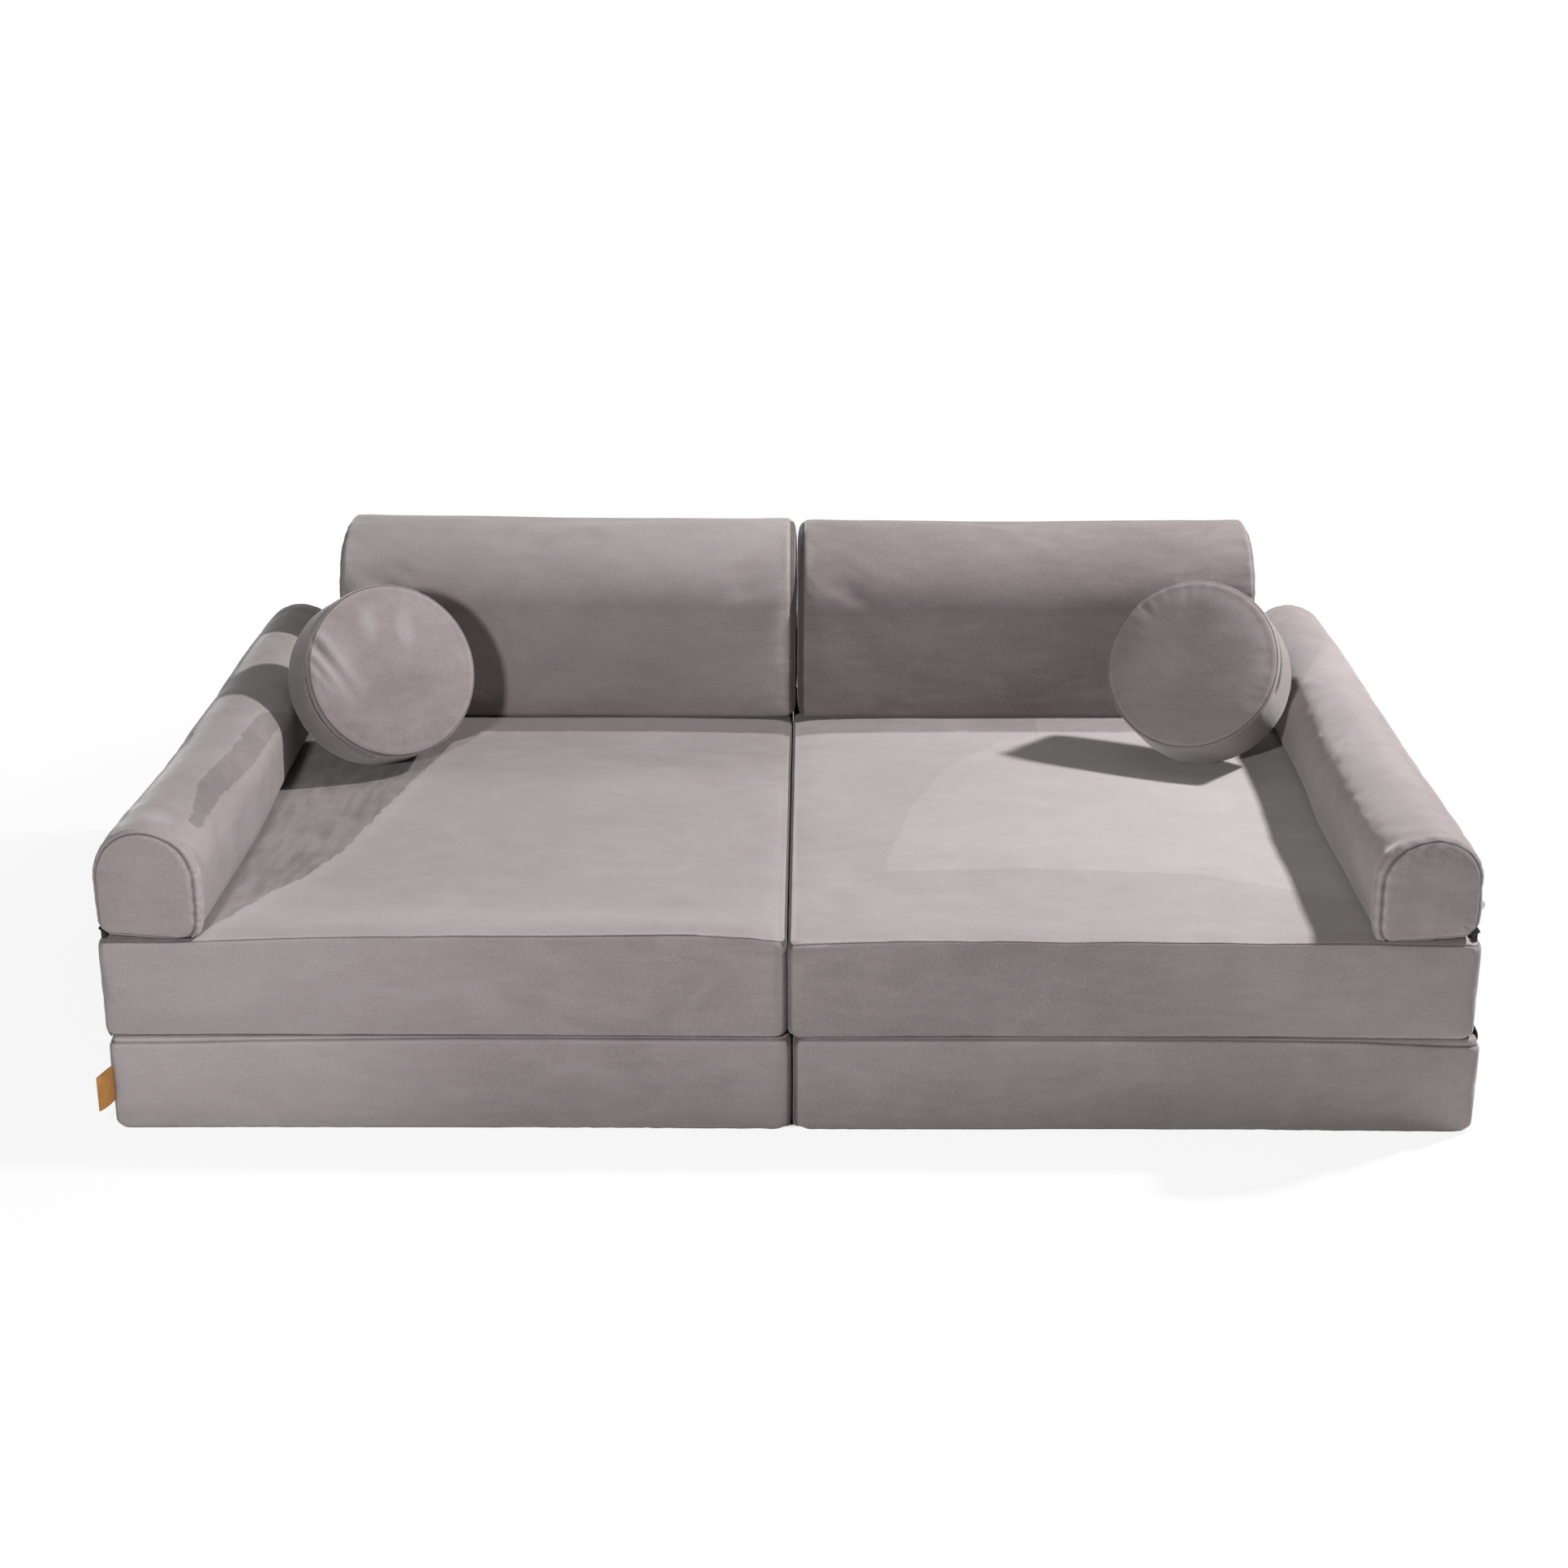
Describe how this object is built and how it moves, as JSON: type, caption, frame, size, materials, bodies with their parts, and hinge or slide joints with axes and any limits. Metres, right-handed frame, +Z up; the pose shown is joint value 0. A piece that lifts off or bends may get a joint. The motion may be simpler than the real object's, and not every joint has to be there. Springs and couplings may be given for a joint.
{
  "type": "modular play sofa",
  "caption": "Low foam play sofa of two fold-out slab modules with arms, backs and round cushions, all in zipped velvet covers.",
  "frame": {"origin": "middle of the sofa's footprint, on the floor", "axes": "+X to the right as seen from the front, along the seat's width; +Y to the rear; +Z up"},
  "size_m": [1.6222, 1.0159, 0.4991],
  "materials": {
    "velvet_cover": "short-pile velvet",
    "foam_core": "open-cell foam, cut faces",
    "zip_tape": "woven tape with nylon coil",
    "zip_slider": "satin black",
    "hook_tape": "hook and loop pile",
    "tag_cloth": "folded woven tape"
  },
  "bodies": {
    "left_base": {"left_base_cover": "velvet_cover", "left_base_foam": "foam_core", "left_base_zip": "zip_tape", "left_hinge_fabric": "velvet_cover", "side_tag": "tag_cloth"},
    "left_base_pull": {"left_base_slider": "zip_slider"},
    "left_seat": {"left_seat_cover": "velvet_cover", "left_seat_foam": "foam_core", "left_seat_zip": "zip_tape", "left_hook_tab": "hook_tape"},
    "left_seat_pull": {"left_seat_slider": "zip_slider"},
    "left_arm": {"left_arm_cover": "velvet_cover", "left_arm_foam": "foam_core", "left_arm_zip": "zip_tape", "left_loop_strip": "hook_tape"},
    "left_arm_pull": {"left_arm_slider": "zip_slider"},
    "left_back": {"left_back_cover": "velvet_cover", "left_back_foam": "foam_core", "left_back_zip": "zip_tape"},
    "left_back_pull": {"left_back_slider": "zip_slider"},
    "left_round": {"left_round_cover": "velvet_cover", "left_round_foam": "foam_core", "left_round_zip": "zip_tape"},
    "left_round_pull": {"left_round_slider": "zip_slider"},
    "right_base": {"right_base_cover": "velvet_cover", "right_base_foam": "foam_core", "right_base_zip": "zip_tape", "right_hinge_fabric": "velvet_cover"},
    "right_base_pull": {"right_base_slider": "zip_slider"},
    "right_seat": {"right_seat_cover": "velvet_cover", "right_seat_foam": "foam_core", "right_seat_zip": "zip_tape", "right_hook_tab": "hook_tape"},
    "right_seat_pull": {"right_seat_slider": "zip_slider"},
    "right_arm": {"right_arm_cover": "velvet_cover", "right_arm_foam": "foam_core", "right_arm_zip": "zip_tape", "right_loop_strip": "hook_tape"},
    "right_arm_pull": {"right_arm_slider": "zip_slider"},
    "right_back": {"right_back_cover": "velvet_cover", "right_back_foam": "foam_core", "right_back_zip": "zip_tape"},
    "right_back_pull": {"right_back_slider": "zip_slider"},
    "right_round": {"right_round_cover": "velvet_cover", "right_round_foam": "foam_core", "right_round_zip": "zip_tape"},
    "right_round_pull": {"right_round_slider": "zip_slider"}
  },
  "joints": [
    {"name": "left_seat_fold", "type": "hinge", "parent": "left_base", "child": "left_seat", "pos_m": [-0.7993, 0, 0.12015], "axis": [0, -1, 0], "range_deg": [0, 180], "deforming": ["left_hinge_fabric"]},
    {"name": "left_arm_lift", "type": "slide", "parent": "left_seat", "child": "left_arm", "axis": [0, 0, 1], "range_m": [0, 0.35]},
    {"name": "left_back_lift", "type": "slide", "parent": "left_seat", "child": "left_back", "axis": [0, 0, 1], "range_m": [0, 0.35]},
    {"name": "left_round_lift", "type": "slide", "parent": "left_seat", "child": "left_round", "axis": [0, 0, 1], "range_m": [0, 0.35]},
    {"name": "left_base_zip", "type": "slide", "parent": "left_base", "child": "left_base_pull", "axis": [1, 0, 0], "range_m": [0, 0.552]},
    {"name": "left_seat_zip", "type": "slide", "parent": "left_seat", "child": "left_seat_pull", "axis": [1, 0, 0], "range_m": [0, 0.552]},
    {"name": "left_arm_zip", "type": "slide", "parent": "left_arm", "child": "left_arm_pull", "axis": [0, 1, 0], "range_m": [0, 0.892]},
    {"name": "left_back_zip", "type": "slide", "parent": "left_back", "child": "left_back_pull", "axis": [1, 0, 0], "range_m": [0, 0.5061]},
    {"name": "left_round_zip", "type": "hinge", "parent": "left_round", "child": "left_round_pull", "pos_m": [-0.56067, 0.125, 0.36866], "axis": [0.4705, -0.7831, 0.4067], "range_deg": [0, 176.89]},
    {"name": "right_seat_fold", "type": "hinge", "parent": "right_base", "child": "right_seat", "pos_m": [0.8048, 0, 0.12015], "axis": [0, 1, 0], "range_deg": [0, 180], "deforming": ["right_hinge_fabric"]},
    {"name": "right_arm_lift", "type": "slide", "parent": "right_seat", "child": "right_arm", "axis": [0, 0, 1], "range_m": [0, 0.35]},
    {"name": "right_back_lift", "type": "slide", "parent": "right_seat", "child": "right_back", "axis": [0, 0, 1], "range_m": [0, 0.35]},
    {"name": "right_round_lift", "type": "slide", "parent": "right_seat", "child": "right_round", "axis": [0, 0, 1], "range_m": [0, 0.35]},
    {"name": "right_base_zip", "type": "slide", "parent": "right_base", "child": "right_base_pull", "axis": [-1, 0, 0], "range_m": [0, 0.552]},
    {"name": "right_seat_zip", "type": "slide", "parent": "right_seat", "child": "right_seat_pull", "axis": [-1, 0, 0], "range_m": [0, 0.552]},
    {"name": "right_arm_zip", "type": "slide", "parent": "right_arm", "child": "right_arm_pull", "axis": [0, 1, 0], "range_m": [0, 0.892]},
    {"name": "right_back_zip", "type": "slide", "parent": "right_back", "child": "right_back_pull", "axis": [-1, 0, 0], "range_m": [0, 0.5061]},
    {"name": "right_round_zip", "type": "hinge", "parent": "right_round", "child": "right_round_pull", "pos_m": [0.55974, 0.15, 0.36705], "axis": [0.3623, 0.7769, -0.515], "range_deg": [0, 176.89]},
    {"name": "right_base_slide", "type": "slide", "parent": "left_base", "child": "right_base", "axis": [1, 0, 0], "range_m": [0, 0.4]}
  ]
}
